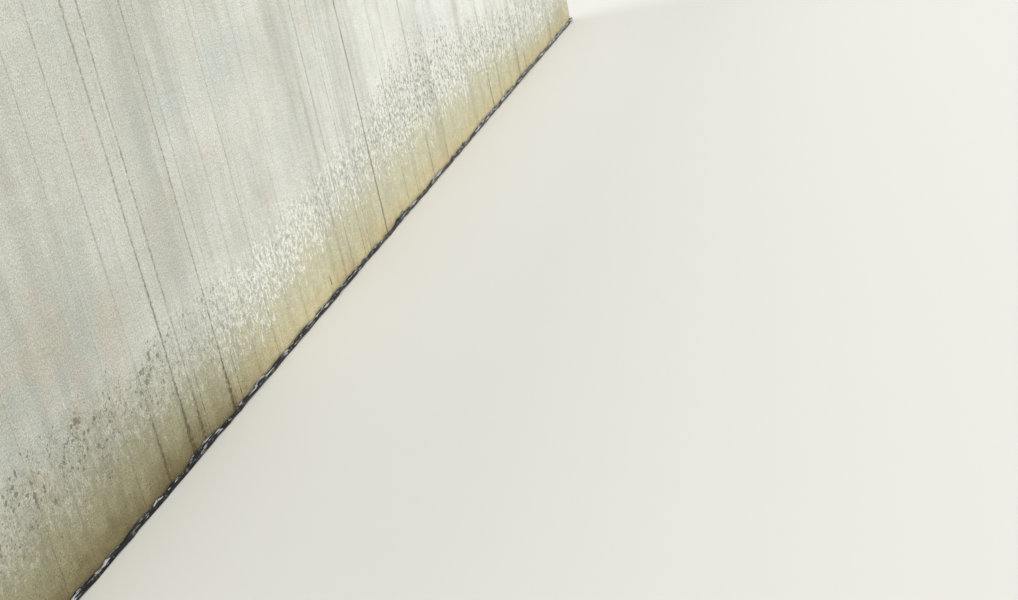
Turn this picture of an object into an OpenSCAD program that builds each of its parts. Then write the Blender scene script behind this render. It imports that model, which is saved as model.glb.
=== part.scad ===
// Rendered brick garden wall: one-brick-thick brickwork in bays between movement joints, with
// cement render on both faces and both stop ends, a weathered coping in units, and the black
// plastic damp-proof strip that stands up along its foot.
// Millimetres, +Z up. X runs along the wall, its garden side faces -Y, and the origin lies on
// the ground at the middle of the wall.

/* [Bays] */
// Number of bays between the two stop ends
bay_count = 3; // [1:1:6]
// Length of one rendered bay
bay_length = 3990; // [2000:10:6000]
// Width of the movement joint between two bays
joint_gap = 10; // [8:1:20]

/* [Brickwork] */
// Length of a brick, which is the thickness of the one-brick wall
brick_length = 222; // [190:1:300]
// Height of a course with its bed joint
course_height = 85; // [60:1:100]
// Number of courses above the ground
course_count = 20; // [6:1:24]

/* [Render] */
// Thickness of the cement render on the two faces
face_render = 12; // [8:1:25]
// Thickness of the cement render on the two stop ends
end_render = 12; // [8:1:25]
// Radius of the rounded corner between a face and a stop end
corner_radius = 8; // [2:1:10]

/* [Movement joint sealant] */
// Depth of the sealant at the sides of the joint
sealant_depth = 14; // [10:1:25]
// Hollow that tooling leaves in the sealant at the middle of the joint
sealant_hollow = 2; // [0.5:0.5:4]
// Setback of the sealant from the face of the render
sealant_setback = 1; // [0.5:0.5:4]

/* [Coping] */
// Number of coping units on one bay
units_per_bay = 4; // [2:1:8]
// Height of the coping's upright edge
coping_edge = 42; // [30:1:80]
// Rise of the weathered top from the edge to the ridge
coping_rise = 30; // [10:1:60]
// Projection of the coping beyond each rendered face
coping_overhang = 30; // [20:1:60]
// Projection of the coping beyond each stop end
coping_end_overhang = 30; // [20:1:60]
// Radius of the rounded arris along each upper edge
arris_radius = 6; // [2:1:12]
// Radius of the rounded ridge
ridge_radius = 25; // [5:1:60]
// Radius of the half-round drip groove under each edge
drip_radius = 5; // [3:1:8]
// Distance from the coping's edge to the middle of its drip groove
drip_inset = 13; // [10:1:18]
// Width of the mortar joint between two coping units
coping_joint = 10; // [6:1:15]
// Setback of the mortar and the sealant from the coping's surface
coping_joint_setback = 2; // [1:0.5:5]

/* [Coping bed] */
// Thickness of the mortar bed under the coping
bed_thickness = 10; // [6:1:20]
// Setback of the bed's pointing from the face of the render
bed_setback = 3; // [1:0.5:8]

/* [Damp-proof strip] */
// Thickness of the plastic
strip_thickness = 3; // [2:0.5:5]
// Mean height above the ground of the fold along the strip's top
strip_height = 30; // [26:1:80]
// Largest rise or fall of the fold from that height
strip_wave = 9; // [2:1:12]
// Radius of the fold, to the middle of the plastic
fold_radius = 5; // [4:0.5:8]
// How far the lip hangs down in front, below the fold
lip_drop = 9; // [4:1:12]
// Mean distance that the lip's cut edge stands out from the fold
lip_flare = 5; // [1:1:9]
// Share of that distance that comes and goes along the wall
lip_ripple = 0.8; // [0.2:0.1:1]
// Gap between two lengths of strip at a movement joint
strip_gap = 4; // [2:1:10]

/* [Hidden] */
core_height = course_count * course_height;
bed_top = core_height + bed_thickness;
half_core = brick_length / 2;
half_wall = half_core + face_render;
wall_length = bay_count * bay_length + (bay_count - 1) * joint_gap;
half_length = wall_length / 2;
half_coping = half_wall + coping_overhang;
coping_slope = atan(coping_rise / half_coping);

// The corner's rounding leaves at least this much of the render flat inside it.
corner_flat = 1;
corner_round = min(corner_radius, face_render - corner_flat, end_render - corner_flat);

// Straight steps in one rounded corner of an outline
arc_steps = 6;

// Wave lengths along the wall of the strip's fold and of its lip, and each wave's share
FOLD_WAVES = [1330, 570, 310];
FOLD_SHARES = [0.5, 0.3, 0.2];
LIP_WAVES = [910, 390];
LIP_SHARES = [0.6, 0.4];
// Distance between two sections of the strip, and the turns round its fold
strip_step = 90;
FOLD_TURNS = [180, 135, 90, 45, 0];

render_white = [0.82, 0.82, 0.79];
brick_red = [0.62, 0.33, 0.24];
mortar_grey = [0.66, 0.64, 0.59];
coping_grey = [0.70, 0.69, 0.65];
sealant_grey = [0.50, 0.50, 0.47];
filler_black = [0.20, 0.20, 0.21];
strip_black = [0.05, 0.05, 0.06];

function numbered(name, count) = [for (i = [1:1:count]) str(name, "_", i)];

// Bay i runs from bay_start(i) to bay_end(i), and joint i follows bay i.
function bay_start(i) = -half_length + (i - 1) * (bay_length + joint_gap);
function bay_end(i) = bay_start(i) + bay_length;
function joint_middle(i) = bay_end(i) + joint_gap / 2;

// Points of the arc that rounds corner p, reached from point a and left towards point b, where
// the outline turns anticlockwise
function rounded_corner(a, p, b, radius) =
    let (
        u = (a - p) / norm(a - p),
        v = (b - p) / norm(b - p),
        half_angle = acos(u * v) / 2,
        middle = p + (u + v) / norm(u + v) * radius / sin(half_angle),
        start = p + u * radius / tan(half_angle) - middle,
        from = atan2(start[1], start[0]),
        turn = 180 - 2 * half_angle
    )
    [for (k = [0:arc_steps])
        middle + radius * [cos(from + turn * k / arc_steps), sin(from + turn * k / arc_steps)]];

// Outline of the coping across the wall, drawn inside the true surface by a setback
function coping_outline(setback) =
    let (
        side = half_coping - setback,
        drop = setback / cos(coping_slope),
        shoulder = coping_edge + coping_rise * setback / half_coping - drop,
        ridge = coping_edge + coping_rise - drop
    )
    concat(
        [[-side, 0], [side, 0]],
        rounded_corner([side, 0], [side, shoulder], [0, ridge], arris_radius),
        rounded_corner([side, shoulder], [0, ridge], [-side, shoulder], ridge_radius),
        rounded_corner([0, ridge], [-side, shoulder], [-side, 0], arris_radius)
    );

// A stretch of the coping's profile with its two drip grooves, resting on the bed
module coping_stretch(start, end, setback) {
    translate([start, 0, bed_top])
        rotate([90, 0, 90])
            linear_extrude(end - start)
                difference() {
                    polygon(coping_outline(setback));
                    for (side = [-1, 1])
                        translate([side * (half_coping - drip_inset), 0])
                            circle(r = drip_radius, $fn = 48);
                }
}

// Where unit k of a bay starts and ends: the outermost units reach past the stop ends.
function unit_length() = (bay_length - (units_per_bay - 1) * coping_joint) / units_per_bay;
function unit_bay(n) = floor((n - 1) / units_per_bay) + 1;
function unit_place(n) = (n - 1) % units_per_bay;
function unit_start(n) =
    bay_start(unit_bay(n)) + unit_place(n) * (unit_length() + coping_joint)
    - (n == 1 ? coping_end_overhang : 0);
function unit_end(n) =
    bay_start(unit_bay(n)) + unit_place(n) * (unit_length() + coping_joint) + unit_length()
    + (n == bay_count * units_per_bay ? coping_end_overhang : 0);

module coping(n) {
    color(coping_grey)
        coping_stretch(unit_start(n), unit_end(n), 0);
}

// The bed of one bay with the upright joints between its units, one mass of mortar
module coping_mortar(i) {
    first = (i - 1) * units_per_bay + 1;
    color(mortar_grey)
        union() {
            translate([bay_start(i), bed_setback - half_wall, core_height])
                cube([bay_length, 2 * (half_wall - bed_setback), bed_thickness]);
            for (n = [first:1:first + units_per_bay - 2])
                coping_stretch(unit_end(n), unit_start(n + 1), coping_joint_setback);
        }
}

module coping_sealant(i) {
    color(sealant_grey)
        coping_stretch(bay_end(i), bay_start(i + 1), coping_joint_setback);
}

module brick_core(i) {
    start = bay_start(i) + (i == 1 ? end_render : 0);
    end = bay_end(i) - (i == bay_count ? end_render : 0);
    color(brick_red)
        translate([start, -half_core, 0])
            cube([end - start, brick_length, core_height]);
}

// Plan of the front render of bay i, with its outer corner rounded at a stop end
function render_plan(i) =
    let (
        start = bay_start(i),
        end = bay_end(i),
        inner = [[end, -half_core], [start, -half_core]],
        near = [start, -half_wall],
        far = [end, -half_wall]
    )
    concat(
        inner,
        i == 1 ? rounded_corner(inner[1], near, far, corner_round) : [near],
        i == bay_count ? rounded_corner(near, far, inner[0], corner_round) : [far]
    );

module front_render(i) {
    color(render_white)
        linear_extrude(core_height)
            polygon(render_plan(i));
}

module back_render(i) {
    color(render_white)
        mirror([0, 1, 0])
            linear_extrude(core_height)
                polygon(render_plan(i));
}

module far_end_render() {
    color(render_white)
        translate([half_length - end_render, -half_core, 0])
            cube([end_render, brick_length, core_height]);
}

module near_end_render() {
    color(render_white)
        translate([-half_length, -half_core, 0])
            cube([end_render, brick_length, core_height]);
}

// The board that fills the joint behind the sealant, from the ground to the coping
module joint_filler(i) {
    half_board = half_wall - sealant_setback - sealant_depth;
    color(filler_black)
        translate([bay_end(i), -half_board, 0])
            cube([joint_gap, 2 * half_board, bed_top]);
}

// The strip of sealant at the front of joint i, hollow where it was tooled
module front_sealant_strip(i) {
    outer = sealant_setback - half_wall;
    inner = outer + sealant_depth;
    half_gap = joint_gap / 2;
    hollow_radius = (half_gap * half_gap + sealant_hollow * sealant_hollow) / (2 * sealant_hollow);
    hollow_turn = asin(half_gap / hollow_radius);
    hollow_middle = [0, outer + sealant_hollow - hollow_radius];
    hollow_arc = [for (k = [-arc_steps:arc_steps])
        hollow_middle + hollow_radius * [sin(hollow_turn * k / arc_steps),
                                         cos(hollow_turn * k / arc_steps)]];
    translate([joint_middle(i), 0, 0])
        linear_extrude(bed_top)
            polygon(concat([[half_gap, inner], [-half_gap, inner]], hollow_arc));
}

module front_sealant(i) {
    color(sealant_grey)
        front_sealant_strip(i);
}

module back_sealant(i) {
    color(sealant_grey)
        mirror([0, 1, 0])
            front_sealant_strip(i);
}

// Sum of the waves at x, from -1 to 1
function ripple(x, waves, shares) = shares * [for (wave = waves) cos(360 * x / wave)];

// Height of the fold, and how far the lip's cut edge stands out from it, at x
function fold_height(x) = strip_height + strip_wave * ripple(x, FOLD_WAVES, FOLD_SHARES);
function flare_at(x) = lip_flare * (1 + lip_ripple * ripple(x, LIP_WAVES, LIP_SHARES));

// One side of the plastic at x, as distances from the wall and heights: up the wall from the
// foot, round the fold and down the lip. Side 1 is the convex side of the fold, and -1 the other.
function strip_side(x, side) =
    let (
        half = strip_thickness / 2,
        fold_middle = [half + fold_radius, fold_height(x) - half - fold_radius],
        lip = [flare_at(x), -lip_drop],
        lip_normal = [lip_drop, flare_at(x)] / norm(lip)
    )
    concat(
        [[half - side * half, 0]],
        [for (a = FOLD_TURNS) fold_middle + (fold_radius + side * half) * [cos(a), sin(a)]],
        [fold_middle + [fold_radius, 0] + lip + side * half * lip_normal]
    );

// The closed section of the front strip at x
function strip_section(x) =
    let (
        under = strip_side(x, -1),
        over = strip_side(x, 1),
        points = len(over)
    )
    [for (p = concat(under, [for (k = [1:points]) over[points - k]])) [x, -half_wall - p[0], p[1]]];

// One length of strip, its sections joined by triangles and closed at both ends
module strip_length(start, end) {
    steps = ceil((end - start) / strip_step);
    points = [for (k = [0:steps]) each strip_section(start + (end - start) * k / steps)];
    ring = len(strip_section(start));
    sides = [for (k = [0:steps - 1]) for (s = [0:ring - 1])
        let (a = ring * k + s, b = ring * k + (s + 1) % ring)
        each [[a, b, b + ring], [a, b + ring, a + ring]]];
    // Each end is a band of triangles between the two sides of the plastic.
    band = [for (k = [0:ring / 2 - 2])
        let (across = ring - 1 - k)
        each [[k, k + 1, across - 1], [k, across - 1, across]]];
    start_cap = [for (t = band) [t[2], t[1], t[0]]];
    end_cap = [for (t = band) [for (p = t) p + ring * steps]];
    polyhedron(points = points, faces = concat(sides, start_cap, end_cap));
}

function strip_start(i) = bay_start(i) + (i == 1 ? 0 : (strip_gap - joint_gap) / 2);
function strip_end(i) = bay_end(i) - (i == bay_count ? 0 : (strip_gap - joint_gap) / 2);

module front_damp_proof_strip(i) {
    color(strip_black)
        strip_length(strip_start(i), strip_end(i));
}

module back_damp_proof_strip(i) {
    color(strip_black)
        mirror([0, 1, 0])
            strip_length(strip_start(i), strip_end(i));
}

for (i = [1:1:bay_count]) {
    brick_core(i);
    front_render(i);
    back_render(i);
    coping_mortar(i);
    front_damp_proof_strip(i);
    back_damp_proof_strip(i);
}
for (i = [1:1:bay_count - 1]) {
    joint_filler(i);
    front_sealant(i);
    back_sealant(i);
    coping_sealant(i);
}
for (n = [1:1:bay_count * units_per_bay]) {
    coping(n);
}
near_end_render();
far_end_render();
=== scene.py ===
"""Looks of the rendered brick garden wall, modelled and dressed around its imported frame.

The frame gives every piece its place: X runs along the wall, its garden side faces -Y, and the
ground is at Z = 0. Lengths are in metres unless a name or a comment says millimetres.
"""

import logging
import math
from dataclasses import dataclass
from enum import Enum, IntEnum
from typing import Any, Callable

import bmesh
import bpy
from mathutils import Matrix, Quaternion, Vector


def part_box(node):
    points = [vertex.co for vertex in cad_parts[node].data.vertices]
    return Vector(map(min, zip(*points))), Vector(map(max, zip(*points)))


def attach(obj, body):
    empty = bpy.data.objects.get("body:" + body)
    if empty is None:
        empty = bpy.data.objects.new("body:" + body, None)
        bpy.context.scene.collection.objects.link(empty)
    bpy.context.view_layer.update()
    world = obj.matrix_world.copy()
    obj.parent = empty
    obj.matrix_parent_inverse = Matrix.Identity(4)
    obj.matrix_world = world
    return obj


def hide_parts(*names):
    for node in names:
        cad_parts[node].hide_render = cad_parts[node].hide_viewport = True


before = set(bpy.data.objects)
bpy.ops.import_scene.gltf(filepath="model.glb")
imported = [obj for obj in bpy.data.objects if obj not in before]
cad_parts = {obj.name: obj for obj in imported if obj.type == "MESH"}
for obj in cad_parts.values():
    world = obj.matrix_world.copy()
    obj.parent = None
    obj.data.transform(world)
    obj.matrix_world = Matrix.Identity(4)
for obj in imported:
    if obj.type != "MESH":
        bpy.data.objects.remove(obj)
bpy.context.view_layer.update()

log = logging.getLogger("garden_wall")

Node = bpy.types.Node
Socket = bpy.types.NodeSocket
Material = bpy.types.Material
Piece = bpy.types.Object
Span = tuple[float, float]

MM = 0.001
# Two places nearer than the first are one, and two further apart than the second never are.
TOUCHING = 0.01 * MM
APART = 10 * MM
# The least part of a normal along an axis that counts as facing that way, as facing squarely
# that way, and as not being square to it
FACING = 0.7
SQUARELY = 0.999
TILTED = 0.01
BODY = "root"
SMOOTH = {"interpolation_type": "SMOOTHSTEP"}
# What the values of a cloudy pattern mostly lie between
CLOUDY = (0.3, 0.7)

# The wall's main places, read off the frame
WALL_LOW = Vector((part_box("near_end_render")[0].x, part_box("front_render_1")[0].y, 0.0))
WALL_HIGH = Vector((
    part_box("far_end_render")[1].x,
    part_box("back_render_1")[1].y,
    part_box("front_render_1")[1].z,
))
BAYS = sum(name.startswith("brick_core_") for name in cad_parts)
COPING_UNITS = sum(name.startswith("coping_") and name[7:].isdigit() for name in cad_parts)


class Face(Enum):
    """A long face of the wall, named as its CAD nodes are."""

    FRONT = "front"
    BACK = "back"

    @property
    def outward(self) -> float:
        """The sign of the face's outward direction along Y."""
        return -1.0 if self is Face.FRONT else 1.0

    @property
    def place(self) -> float:
        """Where the face is along Y."""
        return WALL_LOW.y if self is Face.FRONT else WALL_HIGH.y


class Axis(IntEnum):
    """A direction of the frame, by its place in a vector."""

    ALONG_WALL = 0
    THROUGH_WALL = 1
    UP = 2


class Part(Enum):
    """What a mesh is made of."""

    VERTEX = "VERT"
    EDGE = "EDGE"
    FACE = "FACE"


class Push(Enum):
    """A direction in which waves move a surface."""

    THROUGH_WALL = "Y"
    UP = "Z"
    OUTWARD = "NORMAL"


class Pattern(Enum):
    """A pattern that waves follow."""

    CLOUDS = "CLOUDS"
    CREASES = "VORONOI"


def linear(hex_colour: str) -> tuple[float, ...]:
    """Turns an sRGB hex colour to the linear colour that shaders take.

    Args:
        hex_colour: A colour such as "#d8d9ce".

    Returns:
        Red, green, blue and alpha, linear.
    """
    shares = (int(hex_colour[i:i + 2], 16) / 255 for i in (1, 3, 5))
    return *(c / 12.92 if c <= 0.04045 else ((c + 0.055) / 1.055) ** 2.4 for c in shares), 1.0


def per_size(size_mm: float) -> float:
    """Turns the real size of a pattern's marks to a texture's scale, in marks for each metre."""
    return 1 / (size_mm * MM)


@dataclass(frozen=True)
class Sketch:
    """The node tree of a material or of the world, while its nodes are added."""

    tree: bpy.types.NodeTree

    def add(
        self, kind: str, *inputs: Any, named: dict[str, Any] | None = None, **settings: Any
    ) -> Node:
        """Adds one shader node with its settings, values and links.

        Args:
            kind: The node's type without its "ShaderNode" prefix.
            inputs: For the inputs in use, in their order, a value, a hex colour, a socket, a node
                whose first output in use is linked, or None to leave the input as it is.
            named: The same for inputs by name.
            settings: Properties of the node.

        Returns:
            The new node.
        """
        node = self.tree.nodes.new("ShaderNode" + kind)
        for name, value in settings.items():
            setattr(node, name, value)
        used = [socket for socket in node.inputs if socket.enabled]
        by_name = {socket.name: socket for socket in used}
        pairs = list(zip(used, inputs))
        pairs += [(by_name[name], value) for name, value in (named or {}).items()]
        for target, value in pairs:
            if isinstance(value, Node):
                value = next(socket for socket in value.outputs if socket.enabled)
            if isinstance(value, Socket):
                self.tree.links.new(value, target)
            elif value is not None:
                target.default_value = linear(value) if isinstance(value, str) else value
        return node

    def place(self) -> list[Socket]:
        """Reads where a point is: its place on the object, and that along X, Y and Z."""
        position = self.add("TexCoord").outputs["Object"]
        return [position, *self.add("SeparateXYZ", position).outputs]

    def surface(
        self, colour: Node, height: Node, relief_mm: float, roughness: float | Node,
        specular: float, ior: float = 1.5, strength: float = 1.0,
    ) -> None:
        """Ends a material's tree with its surface.

        Args:
            colour: Its colour.
            height: The pattern that raises it.
            relief_mm: How high the pattern raises it.
            roughness: How matt it is.
            specular: How strongly it mirrors light.
            ior: Its index of refraction.
            strength: How much of the relief shows.
        """
        bump = self.add("Bump", named={
            "Strength": strength, "Distance": relief_mm * MM, "Height": height,
        })
        shader = self.add("BsdfPrincipled", named={
            "Base Color": colour, "Roughness": roughness, "IOR": ior,
            "Specular IOR Level": specular, "Normal": bump,
        })
        self.add("OutputMaterial", shader)


def empty_material(name: str) -> Material:
    """Makes a material with an empty node tree.

    Args:
        name: The material's name.

    Returns:
        The material.
    """
    material = bpy.data.materials.new(name)
    material.use_nodes = True
    material.node_tree.nodes.clear()
    return material


@dataclass(frozen=True)
class RunOff:
    """A dark line that rain water has washed down the paint, a crack that holds dirt, or the dirt
    and painted shade in a small hole.

    Attributes:
        place: Distance of its foot from the far stop end, in metres.
        half_width_mm: Half its width.
        strength: How dark it is, from 0 to 1.
        flares: Whether it spreads at its foot.
        lean: How far it moves towards the near end for each metre up.
        top: How high it starts, in metres.
        bottom: How high it ends, in metres.
    """

    place: float
    half_width_mm: float
    strength: float
    flares: bool = False
    lean: float = 0.0
    top: float = 2.0
    bottom: float = 0.0


# What stands out on the garden side of the last two bays, from the near end to the far end
RUN_OFFS = (
    RunOff(6.137, 4.0, 0.45),
    RunOff(5.991, 6.5, 0.75, flares=True),
    RunOff(5.908, 3.5, 0.30),
    RunOff(5.827, 9.0, 0.92, flares=True),
    RunOff(5.775, 3.5, 0.35),
    RunOff(5.752, 7.0, 0.75, flares=True),
    RunOff(5.713, 5.5, 0.60, top=0.45),
    RunOff(5.541, 7.5, 0.80, flares=True),
    RunOff(5.478, 6.0, 0.60),
    RunOff(5.350, 550.0, 0.10, top=0.32),
    RunOff(5.324, 5.0, 0.40),
    RunOff(5.171, 6.0, 0.50),
    RunOff(5.124, 5.0, 0.35),
    RunOff(4.902, 12.0, 0.28),
    # A short mark at full strength: the dirt and painted shade in a small hole in the render,
    # which is not cut
    RunOff(4.638, 7.0, 1.0, top=0.088, bottom=0.044),
    RunOff(4.498, 24.0, 0.20),
    RunOff(4.407, 8.0, 0.60, flares=True),
    RunOff(4.370, 4.5, 0.30),
    RunOff(4.266, 7.0, 0.55),
    RunOff(4.240, 350.0, 0.09, top=0.40),
    RunOff(4.236, 4.5, 0.40),
    RunOff(4.199, 5.5, 0.45),
    RunOff(4.120, 5.0, 0.30),
    RunOff(4.002, 6.0, 0.12, flares=True, top=0.45),
    RunOff(3.934, 5.5, 0.40),
    RunOff(3.673, 8.0, 0.60),
    RunOff(3.535, 8.0, 0.40),
    RunOff(3.287, 10.0, 0.45),
    RunOff(3.038, 11.0, 0.40),
    RunOff(2.141, 13.0, 0.75, top=0.60),
    RunOff(2.112, 8.0, 0.80, lean=0.46, top=0.17),
    RunOff(1.950, 30.0, 0.30, top=0.60),
    RunOff(1.500, 45.0, 0.45, top=0.50),
    RunOff(1.340, 26.0, 0.35, top=0.45),
    RunOff(1.050, 900.0, 0.10, top=0.34),
    RunOff(0.620, 60.0, 0.40, top=0.40),
    RunOff(0.350, 450.0, 0.20, top=0.22),
)


@dataclass(frozen=True)
class FacePoint(Sketch):
    """What the shader knows about a point of the render before it is coloured.

    Attributes:
        position: Place, in metres.
        along: Distance along the wall and round its ends.
        y: Place through the wall.
        z: Height above the ground.
        spot: Place on the face, as one vector that differs from face to face.
        sheet: The same as a place on a flat sheet.
        damp_and_shade: How wet this stretch of wall stays, from 0 to 1, which also darkens
            it as painted shade.
        soaked_and_shaded: The same, but above 0 only where it stays wet and is most shaded.
        wettest_and_shadiest: The same, but near 1 only in the middle of the stretch that stays wet
            longest and is most shaded.
        splashed: How hard rain splashes up from the ground here, from 0 to 1.
        sand: The grain of the sand, around 0.5.
    """

    position: Socket
    along: Node
    y: Socket
    z: Socket
    spot: Node
    sheet: Node
    damp_and_shade: Node
    soaked_and_shaded: Node
    wettest_and_shadiest: Node
    splashed: Node
    sand: Node

    def pattern(
        self, size_mm: Span, detail: float, crispness: float = 0.62, sideways: float = 0.0
    ) -> Node:
        """Adds a cloudy pattern on the face.

        Args:
            size_mm: Size of its marks along the wall and down it.
            detail: How many finer patterns it holds.
            crispness: How strong the finer patterns are.
            sideways: How far it is moved, so that it doesn't follow another pattern.

        Returns:
            The noise, around 0.5.
        """
        scale = (per_size(size_mm[0]), 1.0, per_size(size_mm[1]))
        drawn = self.add(
            "VectorMath", self.spot, scale, (0.0, sideways, 0.0), operation="MULTIPLY_ADD"
        )
        return self.add("TexNoise", drawn, 1.0, detail, crispness)

    def dry_or_damp_shaded(self, dry: str, soaked_and_shaded: str) -> Node:
        """Mixes a colour's dry tone with its wet one, which is also darker by painted shade.

        Args:
            dry: The colour where the wall dries out.
            soaked_and_shaded: The colour where it stays wet and shade is painted.

        Returns:
            The colour for this point.
        """
        return self.add("Mix", self.soaked_and_shaded, dry, soaked_and_shaded, data_type="RGBA")


@dataclass(frozen=True)
class PaintedRender:
    """Sand and cement render, wood-floated and painted with matt masonry paint.

    The float leaves a sandy grain and shallow waves. The paint has gone chalky, rain has drawn
    grey lines down it, and soil has splashed and seeped up from the ground. Shade is painted in
    too: stretches of the wall are greyer and darker, and the sand grain's light and dark is partly
    painted into the colour. Lengths are in metres unless they end in mm, the sizes of patterns are
    along the wall and down it, and a pair of heights says where a layer begins to show and where
    it is strongest.
    """

    # The damp_shaded_ colours are darker both for wetness and for painted shade.
    dry_paint: str = "#f5f6ef"
    damp_shaded_paint: str = "#cecfc3"
    warm_paint: str = "#d6c9ba"
    cool_paint: str = "#c8cfcc"
    cool_stain: str = "#a9aea3"
    warm_stain: str = "#b9ac9b"
    line_grey: str = "#7f7e70"
    line_brown: str = "#64553a"
    dry_wash: str = "#d2cfb6"
    damp_shaded_wash: str = "#98967c"
    dry_patch: str = "#bfbea9"
    dry_low_wash: str = "#d0cba9"
    damp_shaded_low_wash: str = "#979270"
    dry_drop: str = "#8c8e7c"
    damp_shaded_drop: str = "#817f6c"
    dry_rinsed: str = "#f4f4ec"
    damp_shaded_rinsed: str = "#d9d9ce"
    glint_speck: str = "#f0efe6"
    dry_foot: str = "#dacda2"
    damp_shaded_foot: str = "#7b6e4b"
    red_soil: str = "#c39a6c"
    # The sand is drawn coarser than its 2 mm grains, so that it shows.
    sand_mm: float = 5.0
    float_mark_mm: float = 45.0
    relief_mm: float = 1.6
    rinsed_mm: float = 19.0
    rerinsed_mm: float = 25.0
    soiled_mm: float = 13.0
    glint_speck_mm: float = 9.0
    small_drop_mm: float = 8.5
    large_drop_mm: float = 21.0
    grey_cloud_mm: Span = (400.0, 500.0)
    cool_cloud_mm: Span = (360.0, 360.0)
    warm_cloud_mm: Span = (270.0, 270.0)
    stain_cloud_mm: Span = (240.0, 240.0)
    splash_edge_mm: Span = (200.0, 240.0)
    soil_patch_mm: Span = (60.0, 85.0)
    glint_cluster_mm: Span = (90.0, 90.0)
    drop_group_mm: Span = (70.0, 70.0)
    growth_group_mm: Span = (140.0, 90.0)
    foot_edge_mm: Span = (90.0, 90.0)
    red_patch_mm: Span = (160.0, 60.0)
    swerve_mm: Span = (11.0, 14.0)
    line_length_mm: Span = (25.0, 600.0)
    line_break_mm: Span = (9.0, 13.0)
    line_group_mm: Span = (520.0, 3000.0)
    ground_damp_heights: Span = (0.20, 0.0)
    stain_heights: Span = (0.95, 0.42)
    low_wash_heights: Span = (0.26, 0.06)
    growth_heights: Span = (0.30, 0.02)
    foot_heights: Span = (0.13, 0.0)
    red_soil_heights: Span = (0.12, 0.02)
    line_foot_heights: Span = (0.30, 0.0)
    rough_foot_heights: Span = (0.34, 0.14)
    swerve: float = 0.004
    flare: float = 0.030
    back_shift: float = 2.3
    damp_and_shade_middle: float = -0.5
    damp_and_shade_spacing: float = 8.8
    splash_middle: float = 2.68
    splash_spacing: float = 6.6
    wash_edge: float = 0.285
    splashed_wash_edge: float = 0.355
    drop_edge: float = 0.205
    splashed_drop_edge: float = 0.320
    lowest_drops: float = 0.20
    highest_drops: float = 0.45

    def build(self) -> Material:
        """Builds the material.

        Returns:
            The painted render.
        """
        material = empty_material("painted_cement_render")
        point = self._read_place(Sketch(material.node_tree))
        colour = self._paint_film(point)
        for lay in (self._soil_splash, self._stained_foot, self._rain_lines, self._grain_tone_and_shade):
            colour = lay(point, colour)
        point.surface(colour, self._relief(point), self.relief_mm, roughness=0.88, specular=0.25)
        return material

    def _read_place(self, sketch: Sketch) -> FacePoint:
        """Works out where a point is, how wet the wall stays there and how much shade is painted
        on it.

        Args:
            sketch: The material's nodes.

        Returns:
            What the layers need to know about the point.
        """
        add = sketch.add
        position, x, y, z = sketch.place()
        facing = add("SeparateXYZ", add("NewGeometry").outputs["True Normal"])
        endways = add("Math", facing.outputs["X"], operation="ABSOLUTE")
        on_end = add("Math", endways, FACING, operation="GREATER_THAN")
        on_back = add("Math", facing.outputs["Y"], FACING, operation="GREATER_THAN")
        # The front face is unrolled onto the ends, and the back is a sheet of its own.
        moved = add("Math", on_back, 2 * WALL_HIGH.y, -WALL_HIGH.y, operation="MULTIPLY_ADD")
        along_face = add("Math", x, moved, operation="ADD")
        from_front = add("Math", y, WALL_HIGH.y, operation="ADD")
        which_end = add("Math", x, operation="SIGN")
        turn = add("Math", on_end, which_end, operation="MULTIPLY")
        along = add("Math", turn, from_front, along_face, operation="MULTIPLY_ADD")
        side = add("Math", on_back, self.back_shift, operation="MULTIPLY")
        spot = add("CombineXYZ", along, side, z)
        unrolled = add("Math", along, side, operation="ADD")

        # Wetness that swells and ebbs along the wall, which also darkens it as painted shade
        damp_and_shade = self._swell(sketch, unrolled, self.damp_and_shade_middle, self.damp_and_shade_spacing)
        nearer_ground = add("MapRange", z, *self.ground_damp_heights, 0.0, 0.05)
        wetness = add("Math", damp_and_shade, nearer_ground, operation="ADD")
        soaked_and_shaded = add("MapRange", wetness, 0.82, 1.04, **SMOOTH)
        return FacePoint(
            sketch.tree, position, along, y, z, spot,
            sheet=add("CombineXYZ", unrolled, z, 0.0),
            damp_and_shade=damp_and_shade,
            soaked_and_shaded=soaked_and_shaded,
            wettest_and_shadiest=add("Math", soaked_and_shaded, 6.0, operation="POWER"),
            splashed=self._swell(sketch, unrolled, self.splash_middle, self.splash_spacing),
            sand=add("TexNoise", spot, per_size(self.sand_mm), 3.0, 0.9),
        )

    def _swell(self, sketch: Sketch, along: Node, middle: float, spacing: float) -> Node:
        """Makes a quantity that swells and ebbs along the wall.

        Args:
            sketch: The material's nodes.
            along: Distance along the wall.
            middle: Where it is greatest.
            spacing: Distance to where it is greatest again.

        Returns:
            The quantity, from 0 to 1.
        """
        turn = 2 * math.pi / spacing
        angle = sketch.add("Math", along, turn, -turn * middle, operation="MULTIPLY_ADD")
        wave = sketch.add("Math", angle, operation="COSINE")
        return sketch.add("MapRange", wave, -1.0, 1.0)

    def _paint_film(self, point: FacePoint) -> Node:
        """Paints the wall, greyer where it stays wet and where shade is painted, and mottles it
        cool and warm.

        Args:
            point: The point's place.

        Returns:
            The paint's colour.
        """
        add = point.add
        clouds = point.pattern(self.grey_cloud_mm, 4.0)
        cloudy = add("MapRange", clouds, *CLOUDY, -0.30, 0.30)
        greyed = add("Math", point.damp_and_shade, cloudy, operation="ADD", use_clamp=True)
        colour = add("Mix", greyed, self.dry_paint, self.damp_shaded_paint, data_type="RGBA")
        for tint, size_mm, low, high in (
            (self.cool_paint, self.cool_cloud_mm, 0.50, 0.70),
            (self.warm_paint, self.warm_cloud_mm, 0.52, 0.72),
        ):
            mottled = point.pattern(size_mm, 5.0)
            share = add("MapRange", mottled, low, high, None, 0.45, **SMOOTH)
            colour = add("Mix", share, colour, tint, data_type="RGBA")
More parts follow.
